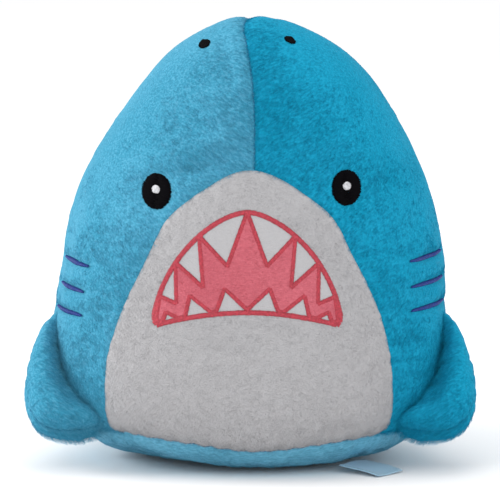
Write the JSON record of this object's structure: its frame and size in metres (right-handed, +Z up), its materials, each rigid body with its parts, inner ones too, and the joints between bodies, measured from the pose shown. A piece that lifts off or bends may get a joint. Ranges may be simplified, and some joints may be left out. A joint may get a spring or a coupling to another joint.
{
  "type": "plush shark",
  "caption": "Sewn plush shark sitting upright, with embroidered face, open toothy mouth patch, stuffed flippers, back fin and tail that flex on their seams.",
  "frame": {"origin": "on the table, at the centre of the flat the base rests on, under the body's widest point", "axes": "+Z up; the face looks along -Y; +X is to the right of someone facing the shark, and left and right in the node names are that person's"},
  "size_m": [0.2508, 0.2524, 0.2469],
  "materials": {
    "blue_plush": "short cut pile, soft sheen",
    "white_plush": "short cut pile, matte",
    "mouth_fabric": "short pile, matte",
    "mouth_thread": "satin stitch",
    "black_thread": "satin stitch",
    "white_thread": "satin stitch",
    "navy_thread": "satin stitch",
    "sewing_thread": "plain sewing thread",
    "stuffing": "loose polyester fibre",
    "backing": "non-woven backing",
    "label_satin": "satin ribbon"
  },
  "bodies": {
    "body": {"left_side_panel": "blue_plush", "right_side_panel": "blue_plush", "belly_panel": "white_plush", "base_panel": "blue_plush", "body_stuffing": "stuffing", "centre_seam_thread": "sewing_thread", "belly_seam_thread": "sewing_thread", "base_seam_thread": "sewing_thread", "mouth_patch": "mouth_fabric", "mouth_stitching": "mouth_thread", "mouth_backing": "backing", "left_eye_stitching": "black_thread", "right_eye_stitching": "black_thread", "left_eye_highlight": "white_thread", "right_eye_highlight": "white_thread", "left_eye_backing": "backing", "right_eye_backing": "backing", "left_nostril_stitching": "black_thread", "right_nostril_stitching": "black_thread", "left_gill_stitching": "navy_thread", "right_gill_stitching": "navy_thread"},
    "left_flipper": {"left_flipper_front_panel": "blue_plush", "left_flipper_rear_panel": "blue_plush", "left_flipper_stuffing": "stuffing", "left_flipper_seam_thread": "sewing_thread"},
    "right_flipper": {"right_flipper_front_panel": "blue_plush", "right_flipper_rear_panel": "blue_plush", "right_flipper_stuffing": "stuffing", "right_flipper_seam_thread": "sewing_thread"},
    "back_fin": {"back_fin_left_panel": "blue_plush", "back_fin_right_panel": "blue_plush", "back_fin_stuffing": "stuffing", "back_fin_seam_thread": "sewing_thread"},
    "tail": {"tail_left_panel": "blue_plush", "tail_right_panel": "blue_plush", "tail_stuffing": "stuffing", "tail_seam_thread": "sewing_thread"},
    "label": {"care_label": "label_satin"}
  },
  "joints": [
    {"name": "right_flipper_flap", "type": "hinge", "parent": "body", "child": "right_flipper", "pos_m": [0.10108, -0.02768, 0.05153], "axis": [0.2973, 0.6026, 0.7406], "range_deg": [-10, 15], "stiffness_Nm_per_rad": 0.05},
    {"name": "left_flipper_flap", "type": "hinge", "parent": "body", "child": "left_flipper", "pos_m": [-0.10108, -0.02768, 0.05153], "axis": [0.2973, -0.6026, -0.7406], "range_deg": [-10, 15], "stiffness_Nm_per_rad": 0.05},
    {"name": "back_fin_flop", "type": "hinge", "parent": "body", "child": "back_fin", "pos_m": [0, 0.08657, 0.15294], "axis": [0, 0.4902, -0.8716], "range_deg": [-30, 30], "stiffness_Nm_per_rad": 0.05},
    {"name": "tail_wag", "type": "hinge", "parent": "body", "child": "tail", "pos_m": [0, 0.1135, 0.056], "axis": [0, 0, 1], "range_deg": [-25, 25], "stiffness_Nm_per_rad": 0.05},
    {"name": "label_lift", "type": "hinge", "parent": "body", "child": "label", "pos_m": [0.056, -0.045, 0.0049], "axis": [-0.6293, -0.7771, 0], "range_deg": [0, 20], "stiffness_Nm_per_rad": 0.002}
  ]
}
